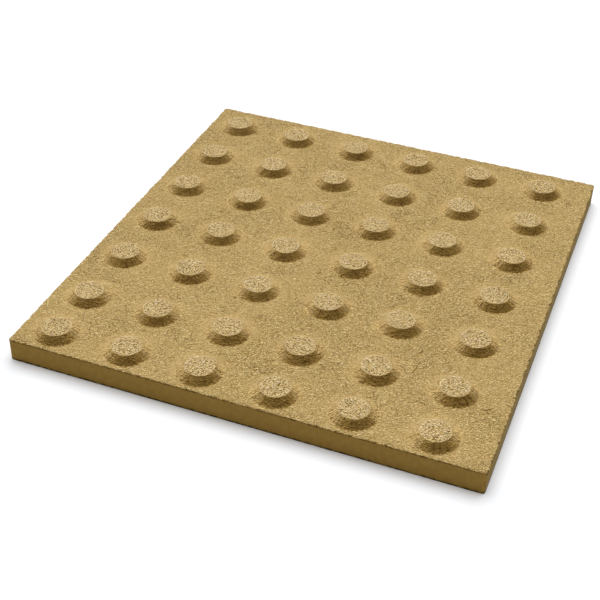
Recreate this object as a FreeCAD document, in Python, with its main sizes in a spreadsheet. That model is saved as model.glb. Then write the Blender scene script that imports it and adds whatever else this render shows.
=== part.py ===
import FreeCAD, Part
import os
import Sketcher

# Tactile paving slab: a cast concrete plate with rows of flat-topped blisters.
# It lies flat with its origin at the middle of its underside, +X to the right, +Y to the back and +Z up.
# A row of blisters runs from left to right, and a column from front to back.

# Driving dimensions in millimetres, and the two counts
SIZES = {
    "column_count": 6,
    "row_count": 7,
    # Between columns, and between all rows except the two in front
    "blister_pitch": 64.4,
    # Between the front row and the one behind it
    "front_row_gap": 54.6,
    # Flat strips between the feet of the outer blisters and the edges of the slab
    "left_border": 12.6,
    "right_border": 28.0,
    "front_border": 5.8,
    "back_border": 14.2,
    "slab_thickness": 20.5,
    # Rounding of the upright corners, and bevels along the edges of the top and the underside
    "corner_radius": 2.0,
    "top_arris": 0.5,
    "bottom_arris": 0.6,
    # Diameter of a blister's flat top, and its whole height
    "blister_top": 24.0,
    "blister_height": 5.4,
    # Worn rim around the flat top: its level width, and its drop to the sloping side
    "rim_width": 0.5,
    "rim_drop": 0.2,
    # Level width of the sloping side
    "flank_width": 6.2,
}

# Sizes and places that follow from the driving dimensions
FOOT_RADIUS = "(Sizes.blister_top / 2 + Sizes.rim_width + Sizes.flank_width)"
COLUMN_SPAN = "(Sizes.column_count - 1) * Sizes.blister_pitch"
ROW_SPAN = "(Sizes.row_count - 2) * Sizes.blister_pitch + Sizes.front_row_gap"
SLAB_WIDTH = f"(Sizes.left_border + Sizes.right_border + 2 * {FOOT_RADIUS} + {COLUMN_SPAN})"
SLAB_DEPTH = f"(Sizes.front_border + Sizes.back_border + 2 * {FOOT_RADIUS} + {ROW_SPAN})"
LEFT_COLUMN = f"(Sizes.left_border + {FOOT_RADIUS} - {SLAB_WIDTH} / 2)"
FRONT_ROW = f"(Sizes.front_border + {FOOT_RADIUS} - {SLAB_DEPTH} / 2)"
SECOND_ROW = f"({FRONT_ROW} + Sizes.front_row_gap)"

# An edge this close to a level lies on it
LEVEL_TOLERANCE = 0.001


def add_sheet(document):
    """Put the driving dimensions in a spreadsheet, each with its name as alias."""
    sheet = document.addObject("Spreadsheet::Sheet", "Sizes")
    for row, (name, value) in enumerate(SIZES.items(), start=1):
        sheet.set(f"A{row}", name)
        sheet.set(f"B{row}", str(value))
        sheet.setAlias(f"B{row}", name)
    document.recompute()


def origin_feature(body, role):
    """Return the body's own plane or axis that has this role."""
    return next(feature for feature in body.Origin.OriginFeatures if feature.Role == role)


def add_sketch(body, name, role):
    """Add a sketch on one of the body's origin planes."""
    sketch = body.newObject("Sketcher::SketchObject", name)
    sketch.AttachmentSupport = [(origin_feature(body, role), "")]
    sketch.MapMode = "FlatFace"
    return sketch


def add_outline(sketch, corners):
    """Draw a closed outline of straight lines and return the lines' numbers."""
    lines = range(len(corners))
    for line in lines:
        sketch.addGeometry(Part.LineSegment(corners[line], corners[(line + 1) % len(corners)]), False)
    for line in lines:
        sketch.addConstraint(Sketcher.Constraint("Coincident", line, 2, (line + 1) % len(corners), 1))
    return lines


def bind(sketch, name, expression, *constraint):
    """Add a named dimension to a sketch and tie it to an expression."""
    index = sketch.addConstraint(Sketcher.Constraint(*constraint))
    sketch.renameConstraint(index, name)
    sketch.setExpression(f"Constraints.{name}", expression)


def edge_names(shape, wanted):
    """Name the edges of a shape that pass a test."""
    return [f"Edge{number}" for number, edge in enumerate(shape.Edges, start=1) if wanted(edge)]


def is_upright(edge):
    """Say whether an edge runs straight up."""
    box = edge.BoundBox
    return box.ZLength > LEVEL_TOLERANCE > max(box.XLength, box.YLength)


def lies_at(level):
    """Return a test for edges that lie wholly at a height."""
    def wanted(edge):
        box = edge.BoundBox
        return max(abs(box.ZMin - level), abs(box.ZMax - level)) < LEVEL_TOLERANCE
    return wanted


def ease_edges(body, kind, name, base, wanted, size, expression):
    """Round or bevel the edges of a feature that pass a test."""
    eased = body.newObject(f"PartDesign::{kind}", name)
    eased.Base = (base, edge_names(base.Shape, wanted))
    eased.setExpression(size, expression)
    body.Document.recompute()
    return eased


def add_plate(body):
    """Cast the plate: a block with rounded upright corners and small arrises."""
    sketch = add_sketch(body, "plate_outline", "XY_Plane")
    # The corners are drawn one pitch out from the middle, and the two lengths then place them
    start = SIZES["blister_pitch"]
    corners = [
        FreeCAD.Vector(-start, -start),
        FreeCAD.Vector(start, -start),
        FreeCAD.Vector(start, start),
        FreeCAD.Vector(-start, start),
    ]
    front, right, back, left = add_outline(sketch, corners)
    sketch.addConstraint(Sketcher.Constraint("Horizontal", front))
    sketch.addConstraint(Sketcher.Constraint("Horizontal", back))
    sketch.addConstraint(Sketcher.Constraint("Vertical", left))
    sketch.addConstraint(Sketcher.Constraint("Vertical", right))
    sketch.addConstraint(Sketcher.Constraint("Symmetric", front, 1, back, 1, -1, 1))
    bind(sketch, "slab_width", SLAB_WIDTH, "DistanceX", front, 1, front, 2, 2 * start)
    bind(sketch, "slab_depth", SLAB_DEPTH, "DistanceY", right, 1, right, 2, 2 * start)

    plate = body.newObject("PartDesign::Pad", "plate")
    plate.Profile = sketch
    plate.setExpression("Length", "Sizes.slab_thickness")
    body.Document.recompute()

    top_level = body.Document.Sizes.slab_thickness
    upright = ease_edges(
        body, "Fillet", "upright_corners", plate, is_upright, "Radius", "Sizes.corner_radius"
    )
    upper = ease_edges(
        body, "Chamfer", "top_arrises", upright, lies_at(top_level), "Size", "Sizes.top_arris"
    )
    ease_edges(
        body, "Chamfer", "bottom_arrises", upper, lies_at(0.0), "Size", "Sizes.bottom_arris"
    )


def draw_blister(sketch):
    """Draw half of a blister's section: flat top, worn rim and straight slope."""
    top_radius = SIZES["blister_top"] / 2
    rim_radius = top_radius + SIZES["rim_width"]
    foot_radius = rim_radius + SIZES["flank_width"]
    height = SIZES["blister_height"]
    rim_height = height - SIZES["rim_drop"]
    corners = [
        FreeCAD.Vector(0, 0),
        FreeCAD.Vector(foot_radius, 0),
        FreeCAD.Vector(rim_radius, rim_height),
        FreeCAD.Vector(top_radius, height),
        FreeCAD.Vector(0, height),
    ]
    base, flank, rim, top, axis = add_outline(sketch, corners)
    sketch.addConstraint(Sketcher.Constraint("Coincident", base, 1, -1, 1))
    sketch.addConstraint(Sketcher.Constraint("Horizontal", base))
    sketch.addConstraint(Sketcher.Constraint("Horizontal", top))
    sketch.addConstraint(Sketcher.Constraint("Vertical", axis))
    bind(sketch, "top_radius", "Sizes.blister_top / 2", "DistanceX", top, 2, top, 1, top_radius)
    bind(sketch, "height", "Sizes.blister_height", "DistanceY", axis, 2, axis, 1, height)
    bind(sketch, "rim_width", "Sizes.rim_width", "DistanceX", rim, 2, rim, 1, SIZES["rim_width"])
    bind(sketch, "rim_drop", "Sizes.rim_drop", "DistanceY", rim, 1, rim, 2, SIZES["rim_drop"])
    bind(sketch, "flank_width", "Sizes.flank_width", "DistanceX", flank, 2, flank, 1, SIZES["flank_width"])


def add_blister_rows(body, name, row_place, row_count):
    """Turn one blister in the left column and repeat it along the columns and rows."""
    sketch = add_sketch(body, f"{name}_section", "XZ_Plane")
    sketch.setExpression("AttachmentOffset.Base.x", LEFT_COLUMN)
    sketch.setExpression("AttachmentOffset.Base.y", "Sizes.slab_thickness")
    sketch.setExpression("AttachmentOffset.Base.z", f"-{row_place}")
    draw_blister(sketch)

    blister = body.newObject("PartDesign::Revolution", f"{name}_blister")
    blister.Profile = sketch
    blister.ReferenceAxis = (sketch, ["V_Axis"])
    blister.Angle = 360
    body.Document.recompute()

    rows = body.newObject("PartDesign::LinearPattern", name)
    rows.Originals = [blister]
    rows.Direction = (origin_feature(body, "X_Axis"), [""])
    rows.Mode = "Spacing"
    rows.setExpression("Offset", "Sizes.blister_pitch")
    rows.setExpression("Occurrences", "Sizes.column_count")
    rows.Direction2 = (origin_feature(body, "Y_Axis"), [""])
    rows.Mode2 = "Spacing"
    # No row has a step of its own
    rows.Spacings2 = []
    rows.setExpression("Offset2", "Sizes.blister_pitch")
    rows.setExpression("Occurrences2", row_count)
    body.Tip = rows
    body.Document.recompute()


def add_slab(document):
    """Make the slab: the plate, its front row of blisters and the evenly spaced rows behind."""
    body = document.addObject("PartDesign::Body", "paving_slab")
    body.Label = "paving_slab"
    add_plate(body)
    add_blister_rows(body, "front_row", FRONT_ROW, "1")
    add_blister_rows(body, "back_rows", SECOND_ROW, "Sizes.row_count - 1")
    return body


def check(document, body):
    """Stop if a feature failed or the slab isn't one sound solid."""
    for feature in document.Objects:
        if {"Invalid", "Error"} & set(feature.State):
            raise RuntimeError(f"{feature.Name} failed: {feature.State}")
    if body.Shape.isNull() or not body.Shape.isValid() or len(body.Shape.Solids) != 1:
        raise RuntimeError(f"{body.Label} isn't one sound solid")


def main():
    document = FreeCAD.newDocument("tactile_paving_slab")
    add_sheet(document)
    slab = add_slab(document)
    document.recompute()
    check(document, slab)
    os.makedirs("parts", exist_ok=True)
    slab.Shape.exportStep(f"parts/{slab.Label}.step")
    box = slab.Shape.optimalBoundingBox()
    print(f"{slab.Label}: {box.XLength:.1f} x {box.YLength:.1f} x {box.ZLength:.1f} mm")
    print(f"volume {slab.Shape.Volume:.0f} mm3, {len(slab.Shape.Faces)} faces")


main()
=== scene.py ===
import math

import bpy
import numpy as np
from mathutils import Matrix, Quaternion, Vector, noise


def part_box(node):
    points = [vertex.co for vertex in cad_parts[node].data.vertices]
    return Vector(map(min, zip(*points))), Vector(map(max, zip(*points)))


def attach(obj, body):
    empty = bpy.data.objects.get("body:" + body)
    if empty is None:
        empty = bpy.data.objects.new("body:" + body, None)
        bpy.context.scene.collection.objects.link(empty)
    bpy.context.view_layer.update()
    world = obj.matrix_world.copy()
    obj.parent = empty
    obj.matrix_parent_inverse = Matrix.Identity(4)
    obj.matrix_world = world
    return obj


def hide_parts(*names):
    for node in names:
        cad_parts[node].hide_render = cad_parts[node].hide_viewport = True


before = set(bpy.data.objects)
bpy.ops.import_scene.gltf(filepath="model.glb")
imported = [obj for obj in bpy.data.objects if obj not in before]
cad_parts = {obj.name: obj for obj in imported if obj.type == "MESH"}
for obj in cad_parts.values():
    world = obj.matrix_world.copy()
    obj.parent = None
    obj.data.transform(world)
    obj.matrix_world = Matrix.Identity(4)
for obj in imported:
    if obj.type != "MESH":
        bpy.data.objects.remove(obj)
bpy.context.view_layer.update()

# Tactile paving slab: one cast piece of buff concrete with flat-topped blisters in rows and columns.
# It lies flat, with the origin at the middle of its underside, +X to the right, +Y to the back and +Z up.
# Its mesh is worked out in millimetres, and turned into metres at the end.

MM = 0.001
NODE = "paving_slab"
LOW, HIGH = (np.array(corner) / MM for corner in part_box(NODE))

# The slab's own sizes
WIDTH, DEPTH, HEIGHT = HIGH - LOW
COLUMN_COUNT = 6
ROW_COUNT = 7
PITCH = 64.4
FRONT_ROW_GAP = 54.6
# From the left edge to the first column, and from the front edge to the front row
LEFT_INSET = 31.3
FRONT_INSET = 24.5
CORNER_RADIUS = 2.0
BLISTER_HEIGHT = 5.4
PLATE_TOP = HEIGHT - BLISTER_HEIGHT

# A blister's slope runs from its rim down to its foot, and is rounded a little at both
RIM_RADIUS = 12.2
FOOT_RADIUS = 19.8
RIM_ROUNDING = 0.15
FOOT_ROUNDING = 0.3
# Rings of points on a blister, by their radius, from its flat top outwards
RINGS = (11.6, 12.0, 12.2, 12.45, 13.1, 14.4, 15.8, 17.4, 18.8, 19.5, 19.9, 20.8)
# Rings on the flat plate around it, by their share of the way to the edge of its cell
FLAT_SHARES = (0.18, 0.4, 0.62, 0.82, 1.0)
# Points along one side of a blister's cell, and how many times finer they are along the slab's edges
CELL_POINTS = 20
EDGE_FINENESS = 3
# Points along one side of a cell on the underside
UNDERSIDE_POINTS = 5
# Points whose places are the same to this grain are one
WELD_GRAIN = 0.001

# The field of cells ends this far inside the slab's edges
FIELD_INSET = 3.5

# Rows of points from the field of cells out to the sides: inset from the outline, drop below the plate's top,
# how much the chips along the edge move the row, and how much painted shade under the arris it holds
ARRIS_ROWS = (
    (2.5, 0.0, 0.0, 0.0),
    (1.5, 0.0, 0.1, 0.0),
    (0.9, 0.0, 0.4, 0.0),
    (0.5, 0.03, 0.8, 0.0),
    (0.2, 0.12, 1.0, 0.0),
    (0.05, 0.3, 1.0, 0.0),
    (0.0, 0.6, 0.8, 0.45),
    (0.05, 1.0, 0.4, 0.2),
)
# Rows of points down the sides to the underside: inset, drop and painted shade, the contact shadow along the
# foot
SIDE_ROWS = (
    (0.1, 1.6, 0.0),
    (0.1, 3.0, 0.0),
    (0.1, 8.0, 0.0),
    (0.1, 13.0, 0.0),
    (0.05, 18.2, 0.0),
    (0.05, 19.2, 1.0),
    (0.05, 20.2, 3.0),
    (0.15, 20.42, 3.0),
    (0.5, 20.5, 3.0),
)

# Chips along the upper edge: the size of the lumps that make them, how far the lumps are raised, so that more
# of the edge is chipped, and how far a full chip reaches in and down
CHIP_SIZE = 3.2
CHIP_RAISE = 0.15
CHIP_INSET = 0.8
CHIP_DROP = 0.7

# Unevenness of the cast faces: the size of the lumps, and how far they move the surface
SWELL_SIZE = 26.0
PLATE_SWELL = 0.10
GRAIN_SIZE = 7.0
PLATE_GRAIN = 0.10
SLOPE_GRAIN = 0.22
# The blister tops are worn down by this much, and their dents come from lumps raised like those of the chips
CROWN_WEAR = 0.05
DENT_SIZE = 2.4
DENT_RAISE = 0.25
DENT_DEPTH = 0.16

# Each pattern of lumps is cut from another place in one noise. It is rougher with more octaves, and each
# octave is finer than the last by the step, and weaker by the step to the power of the fall
SEED_STEP = (31.7, 47.3, 11.9)
SWELL_SEED, GRAIN_SEED, CHIP_SEED, DENT_SEED = 1, 2, 3, 4
SMOOTH_OCTAVES = 2
ROUGH_OCTAVES = 3
OCTAVE_FALL = 1.0
OCTAVE_STEP = 2.0

# Masks that the material reads from the mesh: a blister's flat top, the line of its rim, its slope and the
# calmer plate around it, the slab's sides and underside, and the painted shade along its upper and lower
# edges
MASKS = ("crown", "rim", "flank", "halo", "side", "grime")
# The radii between which a blister's masks rise or fall
CROWN_END = (12.45, 12.0)
RIM_START = (11.5, 12.0)
FLANK_START = (12.0, 12.6)
FLANK_END = (20.7, 19.4)
HALO_START = (12.8, 17.7)
# The distances from a blister's foot between which its halo fades
HALO_END = (9.0, 1.0)
# The drops below the plate's top between which the finish of the sides begins
SIDE_START = (0.3, 1.3)
# The streaks on each blister differ by a number that its place gives: X and this many times Y
STREAK_STEP = 3

# Colours, in linear light
BUFF_DARK = (0.64, 0.449, 0.176, 1.0)
BUFF_LIGHT = (0.67, 0.477, 0.192, 1.0)
# Painted highlight on the wrinkle ridges
RIDGE_PAINTED_HIGHLIGHT = (0.69, 0.513, 0.246, 1.0)
# Painted shade in the creases and folds, also the brown of the stains on the slopes
CREASE_SHADE_AND_STAIN_BROWN = (0.21, 0.115, 0.015, 1.0)
CROWN_BUFF = (0.83, 0.565, 0.199, 1.0)
CROWN_LIGHT = (0.93, 0.740, 0.447, 1.0)
# Painted highlight along the rims of the blister tops
RIM_PAINTED_HIGHLIGHT = (0.90, 0.690, 0.380, 1.0)
FLANK_BUFF = (0.81, 0.563, 0.226, 1.0)
# Painted shade on the slopes' side away from the key light, darker and browner
FLANK_PAINTED_SHADE = (0.61, 0.387, 0.109, 1.0)
# Painted shade on the slopes' side towards the key light, darker to hold down how bright it is lit
FLANK_LIT_SIDE_PAINTED_SHADE = (0.50, 0.361, 0.165, 1.0)
# Dirt and painted shade in the pits of the blister tops
PIT_DIRT_AND_SHADE_BROWN = (0.20, 0.100, 0.008, 1.0)
SIDE_BUFF = (0.48, 0.330, 0.124, 1.0)
# Painted cool light on the right side, paler and greyer than the buff of the sides
RIGHT_SIDE_PAINTED_LIGHT = (0.43, 0.385, 0.270, 1.0)
# Painted shade along the edges: a line under the upper arris, and the contact shadow along the foot
EDGE_SHADE_BROWN = (0.070, 0.052, 0.015, 1.0)


def columns():
    """The columns' places, from left to right."""
    return [-WIDTH / 2 + LEFT_INSET + PITCH * column for column in range(COLUMN_COUNT)]


def rows():
    """The rows' places, from front to back. The front row stands closer to the next."""
    front = -DEPTH / 2 + FRONT_INSET
    return [front] + [front + FRONT_ROW_GAP + PITCH * row for row in range(ROW_COUNT - 1)]


def cell_lines(places, length):
    """The lines between cells: midway between blisters, and a little inside the slab's edges."""
    places = np.array(places)
    edge = length / 2 - FIELD_INSET
    return np.concatenate(([-edge], (places[1:] + places[:-1]) / 2, [edge]))


def divide(lines, count):
    """Split each step between lines into a number of even steps."""
    steps = [np.linspace(start, end, count, endpoint=False) for start, end in zip(lines, lines[1:])]
    return np.concatenate(steps + [lines[-1:]])


def ease(low, high, value):
    """Rise smoothly from 0 at low to 1 at high, or fall where low is the greater."""
    share = np.clip((value - low) / (high - low), 0, 1)
    return share * share * (3 - 2 * share)


def lumps(points, size, seed, octaves=SMOOTH_OCTAVES):
    """Fractal noise at each point, with lumps of about this size."""
    start = Vector(SEED_STEP) * seed
    values = [
        noise.fractal(Vector(point) / size + start, OCTAVE_FALL, OCTAVE_STEP, octaves)
        for point in points
    ]
    return np.array(values)


def blister_rise(radius):
    """Height of a blister above the plate at this distance from its middle."""
    slope = BLISTER_HEIGHT / (FOOT_RADIUS - RIM_RADIUS) * (FOOT_RADIUS - radius)
    above = (slope + np.sqrt(slope**2 + FOOT_ROUNDING**2)) / 2
    below = BLISTER_HEIGHT - above
    return BLISTER_HEIGHT - (below + np.sqrt(below**2 + RIM_ROUNDING**2)) / 2


class Surface:
    """Gathers points, in millimetres, with their masks, and the faces between them."""

    def __init__(self):
        self.points = []
        self.masks = []
        self.around = []
        self.faces = []
        self.count = 0

    def add(self, points, around=(0.0, 0.0, 0.0), **masks):
        """Add points in a grid of any shape and return their numbers in the same shape."""
        shape = points.shape[:-1]
        numbers = self.count + np.arange(np.prod(shape)).reshape(shape)
        self.count += numbers.size
        self.points.append(points.reshape(-1, 3))
        self.around.append(np.broadcast_to(around, points.shape).reshape(-1, 3))
        values = [np.broadcast_to(masks.get(name, 0.0), shape).reshape(-1) for name in MASKS]
        self.masks.append(np.stack(values, axis=1))
        return numbers

    def bridge(self, first, second):
        """Join two closed loops, the second outside or below the first. One may have more points."""
        count = min(len(first), len(second))
        for index in range(count):
            upper = self.stretch(first, index, len(first) // count)
            lower = self.stretch(second, index, len(second) // count)
            self.faces.append(lower + upper[::-1])

    @staticmethod
    def stretch(loop, index, step):
        """One stretch of a closed loop, with the points at both its ends."""
        return [int(loop[(index * step + offset) % len(loop)]) for offset in range(step + 1)]

    def fill(self, grid, facing_up=True):
        """Join neighbouring points of a grid, whose first axis runs along X."""
        corners = (grid[:-1, :-1], grid[1:, :-1], grid[1:, 1:], grid[:-1, 1:])
        faces = np.stack(corners if facing_up else corners[::-1], axis=-1).reshape(-1, 4)
        self.faces.extend(faces.tolist())

    def welded(self):
        """Join points that fall on each other, and return the points, masks, ways around and faces."""
        points = np.concatenate(self.points)
        masks = np.concatenate(self.masks)
        around = np.concatenate(self.around)
        keys = np.round(points / WELD_GRAIN).astype(np.int64)
        _, first, number = np.unique(keys, axis=0, return_index=True, return_inverse=True)
        number = number.reshape(-1)
        faces = [[int(number[corner]) for corner in face] for face in self.faces]
        return points[first], masks[first], around[first], faces


def cell_outline(left, right, front, back):
    """Points around a cell, anticlockwise from its front right corner."""
    share = np.arange(CELL_POINTS) / CELL_POINTS
    across = left + (right - left) * share
    along = front + (back - front) * share
    sides = (
        np.stack((np.full_like(along, right), along), axis=1),
        np.stack((right + left - across, np.full_like(across, back)), axis=1),
        np.stack((np.full_like(along, left), front + back - along), axis=1),
        np.stack((across, np.full_like(across, front)), axis=1),
    )
    return np.concatenate(sides)


def disc_grid(radius):
    """A square grid of points pressed into a disc, ring by ring."""
    steps = np.linspace(-1, 1, CELL_POINTS + 1)
    across, along = np.meshgrid(steps, steps, indexing="ij")
    level = np.abs(along) <= np.abs(across)
    greater = np.where(level, across, along)
    lesser = np.where(level, along, across)
    eighth = math.pi / 4
    lean = eighth * lesser / np.where(greater == 0, 1, greater)
    turn = np.where(level, lean, 2 * eighth - lean)
    turn = np.where(greater < 0, turn + math.pi, turn)
    reach = radius * np.abs(greater)
    return reach * np.cos(turn), reach * np.sin(turn)


def add_blister(surface, middle, edges):
    """Add a blister and the plate around it, up to the edges of its cell."""
    turns = -math.pi / 4 + math.pi / 2 * np.arange(4 * CELL_POINTS) / CELL_POINTS
    radii = np.array(RINGS)[:, None]
    ring_x = middle[0] + radii * np.cos(turns)
    ring_y = middle[1] + radii * np.sin(turns)
    rise = np.broadcast_to(blister_rise(radii), ring_x.shape)
    rings = np.stack((ring_x, ring_y, PLATE_TOP + rise), axis=-1)

    outline = cell_outline(*edges)
    share = np.array(FLAT_SHARES)[:, None, None]
    flat = rings[-1, :, :2] * (1 - share) + outline * share
    away = np.hypot(flat[..., 0] - middle[0], flat[..., 1] - middle[1])
    flat_rise = blister_rise(away) * (1 - share[..., 0])
    flat = np.concatenate((flat, (PLATE_TOP + flat_rise)[..., None]), axis=-1)

    grid_x, grid_y = disc_grid(RINGS[0])
    top = PLATE_TOP + blister_rise(np.hypot(grid_x, grid_y))
    disc = np.stack((middle[0] + grid_x, middle[1] + grid_y, top), axis=-1)
    surface.fill(surface.add(disc, crown=1.0))

    streaks = np.full_like(turns, middle[0] + STREAK_STEP * middle[1])
    loops = list(surface.add(
        rings,
        around=np.stack((np.cos(turns), np.sin(turns), streaks), axis=-1),
        crown=ease(*CROWN_END, radii),
        rim=ease(*RIM_START, radii) * ease(*CROWN_END, radii),
        flank=ease(*FLANK_START, radii) * ease(*FLANK_END, radii),
        halo=ease(*HALO_START, radii),
    ))
    loops += list(surface.add(flat, halo=ease(*HALO_END, away - FOOT_RADIUS)))
    for inner, outer in zip(loops, loops[1:]):
        surface.bridge(inner, outer)


def outline_side(shares, length, depth, inset):
    """Points along one side, from the middle of one corner's arc to the middle of the next."""
    radius = max(CORNER_RADIUS - inset, 0)
    straight = length / 2 - max(CORNER_RADIUS, inset)
    along = (shares - 0.5) * 2 * (straight + radius * math.pi / 4)
    beyond = np.maximum(np.abs(along) - straight, 0)
    turn = beyond / radius if radius else np.zeros_like(beyond)
    reach = np.sign(along) * (np.abs(along) - beyond + radius * np.sin(turn))
    return reach, depth / 2 - inset - radius * (1 - np.cos(turn))


def slab_outline(inset, level, count):
    """Points around the slab at a level, anticlockwise from its front left corner."""
    shares = []
    for lines in (cell_lines(columns(), WIDTH), cell_lines(rows(), DEPTH)):
        places = divide(lines, count)
        shares.append((places - places[0]) / (places[-1] - places[0]))
    across, along = shares
    sides = []
    for share, length, depth, back in (
        (across, WIDTH, DEPTH, False),
        (along, DEPTH, WIDTH, False),
        (across, WIDTH, DEPTH, True),
        (along, DEPTH, WIDTH, True),
    ):
        share = 1 - share[::-1] if back else share
        sides.append(outline_side(share[:-1], length, depth, inset))
    (front_x, front_y), (right_y, right_x), (back_x, back_y), (left_y, left_x) = sides
    x = np.concatenate((front_x, right_x, -back_x, -left_x))
    y = np.concatenate((-front_y, right_y, back_y, -left_y))
    return np.stack((x, y, np.full_like(x, level)), axis=1)


def add_edges(surface):
    """Add the worn arris, the sides and the underside."""
    field = slab_outline(FIELD_INSET, PLATE_TOP, CELL_POINTS)
    loops = [surface.add(field)]
    fine = EDGE_FINENESS * CELL_POINTS
    edge = slab_outline(0.0, PLATE_TOP, fine)
    chips = np.clip(CHIP_RAISE + lumps(edge, CHIP_SIZE, CHIP_SEED, ROUGH_OCTAVES), 0, 1)
    for inset, drop, wear, grime in ARRIS_ROWS:
        points = slab_outline(inset, PLATE_TOP - drop, fine)
        inward = slab_outline(inset + CHIP_INSET, PLATE_TOP - drop - CHIP_DROP, fine)
        points += (inward - points) * (chips * wear)[:, None]
        loops.append(surface.add(points, side=ease(*SIDE_START, drop), grime=grime))
    for inset, drop, grime in SIDE_ROWS:
        points = slab_outline(inset, PLATE_TOP - drop, CELL_POINTS)
        loops.append(surface.add(points, side=1.0, grime=grime))

    across = divide(cell_lines(columns(), WIDTH), UNDERSIDE_POINTS)
    along = divide(cell_lines(rows(), DEPTH), UNDERSIDE_POINTS)
    x, y = np.meshgrid(across, along, indexing="ij")
    grid = surface.add(np.stack((x, y, np.zeros_like(x)), axis=-1), side=1.0)
    surface.fill(grid, facing_up=False)
    loops.append(np.concatenate((grid[:-1, 0], grid[-1, :-1], grid[:0:-1, -1], grid[0, :0:-1])))
    for inner, outer in zip(loops, loops[1:]):
        surface.bridge(inner, outer)


def weather(points, masks):
    """Give the cast faces the uneven surface of worked concrete."""
    crown, _, flank, _, side, _ = masks.T
    plate = (1 - crown) * (1 - flank) * (1 - side)
    swell = lumps(points, SWELL_SIZE, SWELL_SEED)
    grain = lumps(points, GRAIN_SIZE, GRAIN_SEED, ROUGH_OCTAVES)
    dents = np.clip(DENT_RAISE + lumps(points, DENT_SIZE, DENT_SEED), 0, 1)
    points = points.copy()
    points[:, 2] += plate * (PLATE_SWELL * swell + PLATE_GRAIN * grain)
    points[:, 2] += flank * SLOPE_GRAIN * grain
    points[:, 2] -= crown * (CROWN_WEAR + DENT_DEPTH * dents)
    return points


def make_mesh():
    """Build the slab's closed mesh, with its masks as attributes."""
    surface = Surface()
    across = cell_lines(columns(), WIDTH)
    along = cell_lines(rows(), DEPTH)
    for column, x in enumerate(columns()):
        for row, y in enumerate(rows()):
            add_blister(surface, (x, y), (*across[column:column + 2], *along[row:row + 2]))
    add_edges(surface)
    points, masks, around, faces = surface.welded()
    points = weather(points, masks)

    mesh = bpy.data.meshes.new("slab")
    mesh.from_pydata((points * MM).tolist(), [], faces)
    for name, values in zip(MASKS, masks.T):
        attribute = mesh.attributes.new(name, "FLOAT", "POINT")
        attribute.data.foreach_set("value", np.ascontiguousarray(values, dtype=np.float32))
    attribute = mesh.attributes.new("around", "FLOAT_VECTOR", "POINT")
    attribute.data.foreach_set("vector", np.ascontiguousarray(around, dtype=np.float32).reshape(-1))
    mesh.polygons.foreach_set("use_smooth", np.ones(len(mesh.polygons), dtype=bool))
    mesh.update()
    return mesh


class Nodes:
    """Adds shader nodes and links them."""

    # The middle of a noise's range, and the sockets of a mix of colours
    NOISE_MIDDLE = 0.5
    MIX_INPUTS = (0, 6, 7)
    MIX_RESULT = 2

    def __init__(self, tree):
        self.tree = tree
        tree.nodes.clear()

    def set(self, socket, value):
        """Give an input a value, or link it to an output."""
        if isinstance(value, bpy.types.NodeSocket):
            self.tree.links.new(value, socket)
        else:
            socket.default_value = value

    def add(self, kind, inputs=None, **settings):
        """Add a node, and set or link its inputs."""
        node = self.tree.nodes.new(kind)
        for name, value in settings.items():
            setattr(node, name, value)
        for name, value in (inputs or {}).items():
            self.set(node.inputs[name], value)
        return node

    def math(self, operation, first, second=0.0, third=0.0):
        """Return a sum, product or other result of values or sockets."""
        inputs = {0: first, 1: second, 2: third}
        return self.add("ShaderNodeMath", inputs, operation=operation).outputs[0]

    def product(self, first, *others):
        """Return all the values or sockets multiplied together."""
        for other in others:
            first = self.math("MULTIPLY", first, other)
        return first

    def less(self, share, mask):
        """Return 1, less a share of a mask."""
        return self.math("MULTIPLY_ADD", mask, -share, 1.0)

    def ease(self, value, low, high, start=0.0, end=1.0):
        """Move a value smoothly from one range to another."""
        inputs = {"Value": value, "From Min": low, "From Max": high, "To Min": start, "To Max": end}
        return self.add("ShaderNodeMapRange", inputs, interpolation_type="SMOOTHSTEP").outputs["Result"]

    def noise(self, vector, scale, detail, roughness=0.5, distortion=0.0):
        """Return noise around zero, with a number of lumps to a length of 1."""
        inputs = {
            "Vector": vector,
            "Scale": scale,
            "Detail": detail,
            "Roughness": roughness,
            "Distortion": distortion,
        }
        level = self.add("ShaderNodeTexNoise", inputs).outputs["Fac"]
        return self.math("SUBTRACT", level, self.NOISE_MIDDLE)

    def mix(self, share, first, second):
        """Return a mix of two colours."""
        node = self.add("ShaderNodeMix", data_type="RGBA")
        for index, value in zip(self.MIX_INPUTS, (share, first, second)):
            self.set(node.inputs[index], value)
        return node.outputs[self.MIX_RESULT]

    def attribute(self, name, output):
        """Return one of the mesh's attributes."""
        return self.add("ShaderNodeAttribute", attribute_name=name).outputs[output]

    def seen_directly(self):
        """Return 1 where the camera sees a surface, also by reflection, and 0 where it lights another."""
        path = self.add("ShaderNodeLightPath").outputs
        mirrored = self.math("MAXIMUM", path["Is Glossy Ray"], path["Is Transmission Ray"])
        return self.math("MAXIMUM", path["Is Camera Ray"], mirrored)


# Noise in the concrete: lumps to the metre, detail, roughness and distortion
WRINKLE_NOISE = (575.0, 0.9, 0.5, 0.4)
WRINKLE_CHOICE = (200.0, 1.0)
PATCH_NOISE = (22.0, 1.0)
FOLD_NOISE = (55.0, 2.0, 0.5, 0.8)
FOLD_CHOICE = (38.0, 1.0)
CROWN_NOISE = (740.0, 1.5, 0.6, 0.8)
SLOPE_NOISE = (420.0, 2.0, 0.6)
GRIT_NOISE = (900.0, 2.0, 0.6)
TONE_NOISE = (90.0, 3.0, 0.6)
MOTTLE_NOISE = (220.0, 3.0, 0.7)
EDGE_SHADE_NOISE = (330.0, 2.0, 0.6)
# Streaks around a blister: lumps to the radius of a circle around it, detail and roughness
STREAK_NOISE = (10.0, 2.0, 0.6)

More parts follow.
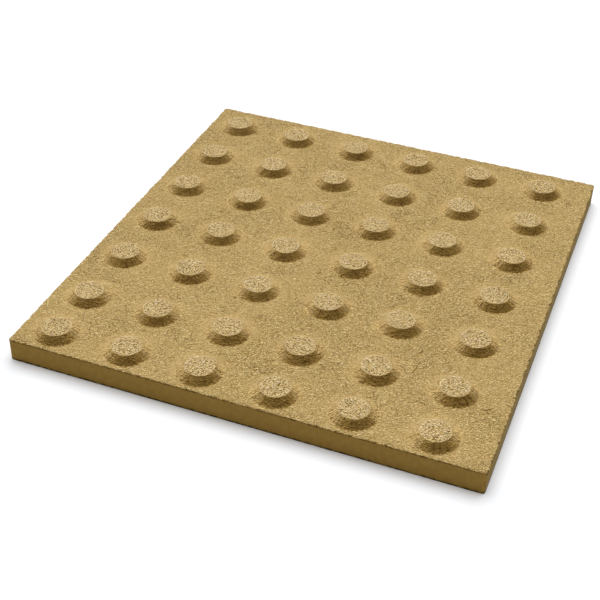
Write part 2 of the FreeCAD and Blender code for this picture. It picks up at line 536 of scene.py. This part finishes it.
# The wrinkles on the plate run three ways, by turns in degrees, and are longer than they are wide
WRINKLE_TURNS = (20.0, 80.0, 140.0)
WRINKLE_STRETCH = (0.42, 1.2, 1.0)
# Between patches that run one way and the next, where the noise that chooses passes these values
WRINKLE_BORDERS = ((-0.07, -0.02), (0.02, 0.07))
# The level that the wrinkles rise and fall from, and those between which the painted crease shade and ridge
# highlight set in
WRINKLE_MEAN = 0.09
CREASE_SHADE_RANGE = (0.07, 0.01)
RIDGE_HIGHLIGHT_RANGE = (0.08, 0.2)
# The wrinkles are weaker in some patches, around the blisters and on their slopes
PATCH_RANGE = (-0.15, 0.15)
PATCH_STRENGTH = (0.8, 1.0)
HALO_CALM = 0.15
FLANK_CALM = 0.3
# A few longer folds, and where the noise that chooses lets them in
FOLD_RANGE = (0.018, 0.0)
FOLD_PLACES = (0.03, 0.11)

# The blister tops are lighter on their grains and pitted between them, but less along the rim
CROWN_RANGE = (-0.06, 0.12)
# The pits are painted dark brown, as dirt and as the shade in them
PIT_RANGE = (-0.055, -0.12)
RIM_CALM = 0.6

# Painted shade on the slopes: darker towards the key light, which lies this way, and darker and browner away
# from it
KEY_LIGHT_SIDE = (-0.47, 0.88, 0.0)
SHADED_SIDE_RANGE = (-0.85, -0.4)
LIT_SIDE_RANGE = (-0.25, 0.9)
ROUGH_RANGE = (0.02, 0.24)

# Tones of the plate and the sides, the painted cool light on the right side, and breaks in the painted shade
# along the edges
TONE_RANGE = (-0.2, 0.2)
MOTTLE_RANGE = (-0.2, 0.2)
MOTTLE_SHARES = (0.6, 1.0)
PAINTED_LIGHT_DEPTH = 1.0
PAINTED_LIGHT_SHARE = 0.5
EDGE_SHADE_RANGE = (-0.05, 0.05)
EDGE_SHADE_BREAKS = (0.25, 1.0)

# How far each mark covers the colour under it
# The rim's share is that of its painted highlight
RIM_HIGHLIGHT_SHARE = 0.8
CREASE_SHADE_SHARE = 0.85
FOLD_SHADE_SHARE = 0.35
PIT_SHARE = 0.9
ROUGH_SHARE = 0.6
EDGE_SHADE_SHARE = 0.9

# Height of each pattern's relief, in millimetres, and of the grit on the top and on the sides
RELIEF = {"wrinkles": 2.6, "folds": -0.6, "knobs": 3.2, "rough": 1.0}
TOP_GRIT = 0.6
SIDE_GRIT = 0.05
# The surface is rougher or smoother by its grit, and mirrors little light
GRIT_RANGE = (-0.2, 0.2)
ROUGHNESS = (0.95, 0.82)
SPECULAR_LEVEL = 0.08


def wrinkle_noise(nodes, place):
    """Return noise that is drawn out three ways, each in patches of its own."""
    ways = []
    for turn in WRINKLE_TURNS:
        inputs = {"Vector": place, "Angle": math.radians(turn)}
        turned = nodes.add("ShaderNodeVectorRotate", inputs, rotation_type="Z_AXIS").outputs["Vector"]
        inputs = {0: turned, 1: WRINKLE_STRETCH}
        drawn = nodes.add("ShaderNodeVectorMath", inputs, operation="MULTIPLY").outputs["Vector"]
        ways.append(nodes.noise(drawn, *WRINKLE_NOISE))
    choice = nodes.noise(place, *WRINKLE_CHOICE)
    value = ways[0]
    for way, border in zip(ways[1:], WRINKLE_BORDERS):
        change = nodes.math("SUBTRACT", way, value)
        value = nodes.math("MULTIPLY_ADD", change, nodes.ease(choice, *border), value)
    return value


def plate_patterns(nodes, place, masks):
    """Return the wrinkles of the plate, with painted shade in the creases and painted highlight on the
    ridges, and a few longer folds.
    """
    covered = nodes.math("MAXIMUM", masks["crown"], masks["side"])
    plate = nodes.product(nodes.less(1.0, covered), nodes.less(FLANK_CALM, masks["flank"]))
    patches = nodes.ease(nodes.noise(place, *PATCH_NOISE), *PATCH_RANGE, *PATCH_STRENGTH)
    strength = nodes.product(patches, nodes.less(HALO_CALM, masks["halo"]), plate)
    swelling = nodes.math("ABSOLUTE", wrinkle_noise(nodes, place))
    bend = nodes.math("ABSOLUTE", nodes.noise(place, *FOLD_NOISE))
    rare = nodes.ease(nodes.noise(place, *FOLD_CHOICE), *FOLD_PLACES)
    return {
        "wrinkles": nodes.product(nodes.math("SUBTRACT", swelling, WRINKLE_MEAN), strength),
        "crease_shade": nodes.product(nodes.ease(swelling, *CREASE_SHADE_RANGE), strength),
        "ridge_highlight": nodes.product(nodes.ease(swelling, *RIDGE_HIGHLIGHT_RANGE), strength),
        "folds": nodes.product(nodes.ease(bend, *FOLD_RANGE), rare, plate),
    }


def crown_patterns(nodes, place, masks):
    """Return the grains of the blister tops, with the knobs and pits that they make."""
    grains = nodes.noise(place, *CROWN_NOISE)
    open_top = nodes.product(masks["crown"], nodes.less(RIM_CALM, masks["rim"]))
    return {
        "grains": grains,
        "knobs": nodes.product(grains, open_top),
        "pits": nodes.product(nodes.ease(grains, *PIT_RANGE), open_top),
    }


def slope_patterns(nodes, place, masks):
    """Return the streaks and lumps on the blisters' slopes, and how far each faces the key light, which
    steers the painted shade on them.
    """
    around = nodes.attribute("around", "Vector")
    streaks = nodes.noise(around, *STREAK_NOISE)
    rough = nodes.math("ADD", streaks, nodes.noise(place, *SLOPE_NOISE))
    facing_key_light = nodes.add("ShaderNodeVectorMath", {0: around, 1: KEY_LIGHT_SIDE}, operation="DOT_PRODUCT")
    return {
        "rough": nodes.product(rough, masks["flank"]),
        "facing_key_light": facing_key_light.outputs["Value"],
    }


def concrete_colour(nodes, place, masks, patterns):
    """Return the colour: the faces' own tones, and the marks over them, painted shade and painted highlights
    among them.
    """
    tone = nodes.ease(nodes.noise(place, *TONE_NOISE), *TONE_RANGE)
    colour = nodes.mix(tone, BUFF_DARK, BUFF_LIGHT)
    # Painted highlight on the wrinkle ridges
    colour = nodes.mix(patterns["ridge_highlight"], colour, RIDGE_PAINTED_HIGHLIGHT)

    # Painted shade on the slopes: darker and browner away from the key light, darker towards it
    slope = nodes.mix(nodes.ease(patterns["facing_key_light"], *SHADED_SIDE_RANGE), FLANK_PAINTED_SHADE, FLANK_BUFF)
    slope = nodes.mix(nodes.ease(patterns["facing_key_light"], *LIT_SIDE_RANGE), slope, FLANK_LIT_SIDE_PAINTED_SHADE)
    colour = nodes.mix(masks["flank"], colour, slope)

    mottle = nodes.ease(nodes.noise(place, *MOTTLE_NOISE), *MOTTLE_RANGE, *MOTTLE_SHARES)
    colour = nodes.mix(nodes.product(masks["side"], mottle), colour, SIDE_BUFF)
    # Painted cool light on the right side
    across = nodes.add("ShaderNodeSeparateXYZ", {"Vector": place}).outputs["X"]
    right_light = nodes.ease(across, (WIDTH / 2 - PAINTED_LIGHT_DEPTH) * MM, WIDTH / 2 * MM, 0.0, PAINTED_LIGHT_SHARE)
    colour = nodes.mix(nodes.product(masks["side"], right_light), colour, RIGHT_SIDE_PAINTED_LIGHT)

    top = nodes.mix(nodes.ease(patterns["grains"], *CROWN_RANGE), CROWN_BUFF, CROWN_LIGHT)
    colour = nodes.mix(masks["crown"], colour, top)

    # Breaks in the painted shade along the edges
    broken = nodes.ease(nodes.noise(place, *EDGE_SHADE_NOISE), *EDGE_SHADE_RANGE, *EDGE_SHADE_BREAKS)
    for mark, share, mark_colour in (
        # Painted highlight along the rims
        (masks["rim"], RIM_HIGHLIGHT_SHARE, RIM_PAINTED_HIGHLIGHT),
        # Painted shade in the creases and the folds
        (patterns["crease_shade"], CREASE_SHADE_SHARE, CREASE_SHADE_AND_STAIN_BROWN),
        (patterns["folds"], FOLD_SHADE_SHARE, CREASE_SHADE_AND_STAIN_BROWN),
        # Dirt and painted shade in the pits
        (patterns["pits"], PIT_SHARE, PIT_DIRT_AND_SHADE_BROWN),
        # Stains streaked on the slopes, in the same brown
        (nodes.ease(patterns["rough"], *ROUGH_RANGE), ROUGH_SHARE, CREASE_SHADE_AND_STAIN_BROWN),
        # Painted shade along the edges
        (nodes.product(masks["grime"], broken), EDGE_SHADE_SHARE, EDGE_SHADE_BROWN),
    ):
        colour = nodes.mix(nodes.product(mark, share), colour, mark_colour)
    return colour


def concrete():
    """Buff concrete: wrinkled on the plate, pitted on the blister tops, smooth on the sides."""
    material = bpy.data.materials.new("buff_concrete")
    material.use_nodes = True
    nodes = Nodes(material.node_tree)
    place = nodes.add("ShaderNodeTexCoord").outputs["Object"]
    masks = {name: nodes.attribute(name, "Fac") for name in MASKS}
    patterns = {
        **plate_patterns(nodes, place, masks),
        **crown_patterns(nodes, place, masks),
        **slope_patterns(nodes, place, masks),
    }

    grit = nodes.noise(place, *GRIT_NOISE)
    relief = nodes.product(grit, nodes.ease(masks["side"], 0.0, 1.0, TOP_GRIT, SIDE_GRIT))
    for name, height in RELIEF.items():
        relief = nodes.math("MULTIPLY_ADD", patterns[name], height, relief)
    bump = nodes.add("ShaderNodeBump", {"Height": relief, "Strength": 1.0, "Distance": MM})

    shader = nodes.add("ShaderNodeBsdfPrincipled", {
        "Base Color": concrete_colour(nodes, place, masks, patterns),
        "Roughness": nodes.ease(grit, *GRIT_RANGE, *ROUGHNESS),
        "Specular IOR Level": SPECULAR_LEVEL,
        "Normal": bump.outputs["Normal"],
    })
    nodes.add("ShaderNodeOutputMaterial", {"Surface": shader.outputs["BSDF"]})
    return material


# Light, as shares of the light that shows a colour as it is written. Angles are in degrees
WHITE = (1.0, 1.0, 1.0)
SKY_SHARE = 0.065
SKY_COLOUR = (1.0, 0.72, 0.24)
KEY_COLOUR = tuple(1.0 - SKY_SHARE * value for value in SKY_COLOUR)
KEY_AZIMUTH = 119.0
KEY_ELEVATION = 40.3
KEY_SOFTNESS = 14.0
FLOOR_SHARE = 1.1
FLOOR_SOFTNESS = 70.0
FLOOR_AZIMUTH = 100.0
FLOOR_ELEVATION = 74.5
FLOOR_SHOWN = (0.915, 0.945, 1.0, 1.0)
FLOOR_BOUNCE = (0.60, 0.54, 0.37, 1.0)
# How far the floor reaches each way, in metres
FLOOR_REACH = 4.0


def add_sun(name, azimuth, elevation, strength, softness, colour, receivers):
    """Add a distant lamp that lights only some objects. Azimuth is anticlockwise from +X."""
    lamp = bpy.data.lights.new(name, "SUN")
    lamp.energy = strength
    lamp.angle = math.radians(softness)
    lamp.color = colour
    sun = bpy.data.objects.new(name, lamp)
    turn, lift = math.radians(azimuth), math.radians(elevation)
    towards = Vector((math.cos(turn) * math.cos(lift), math.sin(turn) * math.cos(lift), math.sin(lift)))
    sun.rotation_mode = "QUATERNION"
    sun.rotation_quaternion = towards.to_track_quat("Z", "Y")
    bpy.context.scene.collection.objects.link(sun)
    lit = bpy.data.collections.new(f"{name}_receivers")
    for receiver in receivers:
        lit.objects.link(receiver)
    sun.light_linking.receiver_collection = lit


def add_lights(slab, floor):
    """Light the slab from behind and the floor from above."""
    key = math.pi / math.sin(math.radians(KEY_ELEVATION))
    add_sun("key", KEY_AZIMUTH, KEY_ELEVATION, key, KEY_SOFTNESS, KEY_COLOUR, [slab])
    above = FLOOR_SHARE * math.pi / math.sin(math.radians(FLOOR_ELEVATION))
    add_sun("overhead", FLOOR_AZIMUTH, FLOOR_ELEVATION, above, FLOOR_SOFTNESS, WHITE, [floor])

    world = bpy.data.worlds.new("studio")
    bpy.context.scene.world = world
    world.use_nodes = True
    nodes = Nodes(world.node_tree)
    seen = nodes.seen_directly()
    strength = nodes.ease(seen, 0.0, 1.0, SKY_SHARE, 1.0)
    colour = nodes.mix(seen, (*SKY_COLOUR, 1.0), (*WHITE, 1.0))
    background = nodes.add("ShaderNodeBackground", {"Color": colour, "Strength": strength})
    nodes.add("ShaderNodeOutputWorld", {"Surface": background.outputs["Background"]})


def add_floor():
    """Lay a plain white floor, which throws less light back than it shows."""
    mesh = bpy.data.meshes.new("floor")
    signs = ((-1, -1), (1, -1), (1, 1), (-1, 1))
    corners = [(FLOOR_REACH * x, FLOOR_REACH * y, 0.0) for x, y in signs]
    mesh.from_pydata(corners, [], [(0, 1, 2, 3)])
    floor = bpy.data.objects.new("floor", mesh)
    bpy.context.scene.collection.objects.link(floor)
    material = bpy.data.materials.new("white_floor")
    material.use_nodes = True
    nodes = Nodes(material.node_tree)
    colour = nodes.mix(nodes.seen_directly(), FLOOR_BOUNCE, FLOOR_SHOWN)
    shader = nodes.add("ShaderNodeBsdfDiffuse", {"Color": colour})
    nodes.add("ShaderNodeOutputMaterial", {"Surface": shader.outputs["BSDF"]})
    mesh.materials.append(material)
    return floor


# Camera, fitted to the slab's edges in a square picture. Angles are in degrees
CAMERA_PLACE = Vector((282.87, -845.67, 638.18)) * MM
CAMERA_YAW = 20.186
CAMERA_PITCH = 36.932
CAMERA_ROLL = 1.685
CAMERA_LENS = 72.06
SENSOR_WIDTH = 36.0
# Nothing nearer than this is seen, in metres
CAMERA_NEAR = 0.01


def add_camera():
    """Place the camera at the photograph's viewing angle."""
    data = bpy.data.cameras.new("camera")
    data.lens = CAMERA_LENS
    data.sensor_width = SENSOR_WIDTH
    data.clip_start = CAMERA_NEAR
    camera = bpy.data.objects.new("camera", data)
    yaw, pitch = math.radians(CAMERA_YAW), math.radians(CAMERA_PITCH)
    ahead = Vector((-math.sin(yaw) * math.cos(pitch), math.cos(yaw) * math.cos(pitch), -math.sin(pitch)))
    level = ahead.to_track_quat("-Z", "Y")
    camera.location = CAMERA_PLACE
    camera.rotation_mode = "QUATERNION"
    camera.rotation_quaternion = level @ Quaternion((0, 0, 1), math.radians(CAMERA_ROLL))
    bpy.context.scene.collection.objects.link(camera)
    bpy.context.scene.camera = camera


def main():
    """Build the slab and the scene around it."""
    bpy.context.scene.view_settings.view_transform = "Standard"
    slab = bpy.data.objects.new("slab", make_mesh())
    bpy.context.scene.collection.objects.link(slab)
    slab.data.materials.append(concrete())
    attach(slab, "root")
    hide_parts(NODE)
    floor = add_floor()
    add_lights(slab, floor)
    add_camera()


main()
